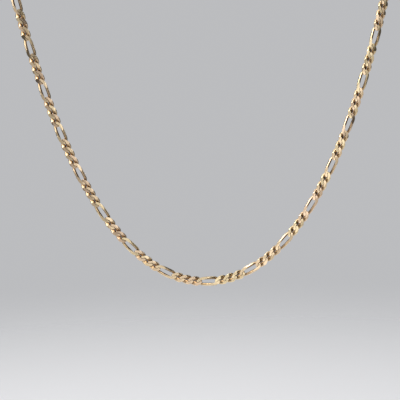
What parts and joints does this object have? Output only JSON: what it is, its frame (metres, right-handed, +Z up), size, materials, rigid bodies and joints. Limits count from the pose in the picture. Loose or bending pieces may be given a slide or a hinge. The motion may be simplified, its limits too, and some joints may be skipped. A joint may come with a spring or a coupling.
{
  "type": "figaro neck chain",
  "caption": "Flat figaro neck chain of twisted curb links, one long to three short, hanging as a closed loop with a plain bolt ring at the nape.",
  "frame": {"origin": "On the line of the chain at the middle of the nape, where the loop rests on the back of the neck and the bolt ring closes it", "axes": "+Z up; -Y the front, where the chain hangs in an upright U; +X to the right of someone who faces the chain"},
  "size_m": [0.1126, 0.0747, 0.1366],
  "materials": {
    "links": "polished pale yellow gold with ground flat faces",
    "fastening": "polished pale yellow gold"
  },
  "bodies": {
    "root": {"short_links": "links", "long_links": "links", "jump_ring_left": "fastening", "jump_ring_right": "fastening", "bolt_ring": "fastening"}
  },
  "joints": []
}
